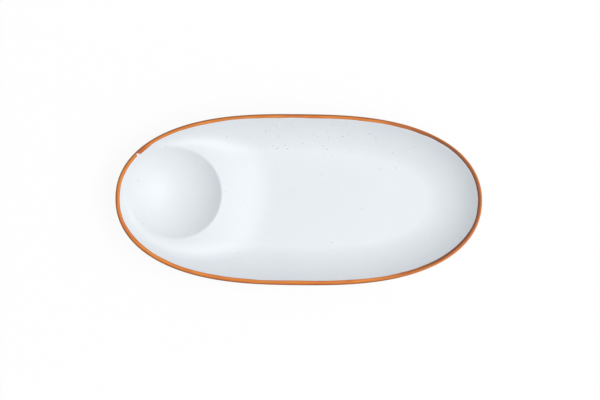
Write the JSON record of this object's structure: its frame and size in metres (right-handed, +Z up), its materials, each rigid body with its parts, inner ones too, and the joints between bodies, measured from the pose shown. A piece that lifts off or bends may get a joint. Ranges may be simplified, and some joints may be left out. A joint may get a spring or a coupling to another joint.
{
  "type": "chip and dip server",
  "caption": "Long oval glazed stoneware serving tray with a round dip well sunk in one end and a coloured glaze band round the lip.",
  "frame": {"origin": "on the table, under the middle of the tray's length and width", "axes": "+X along the tray towards its plain end (the dip well is towards -X), +Y across the tray, +Z up"},
  "size_m": [0.3, 0.14, 0.032],
  "materials": {
    "clay": "matte",
    "white_glaze": "satin",
    "band_glaze": "satin"
  },
  "bodies": {
    "root": {"stoneware_body": "clay", "top_glaze": "white_glaze", "outer_glaze": "white_glaze", "base_glaze": "white_glaze", "rim_band": "band_glaze"}
  },
  "joints": []
}
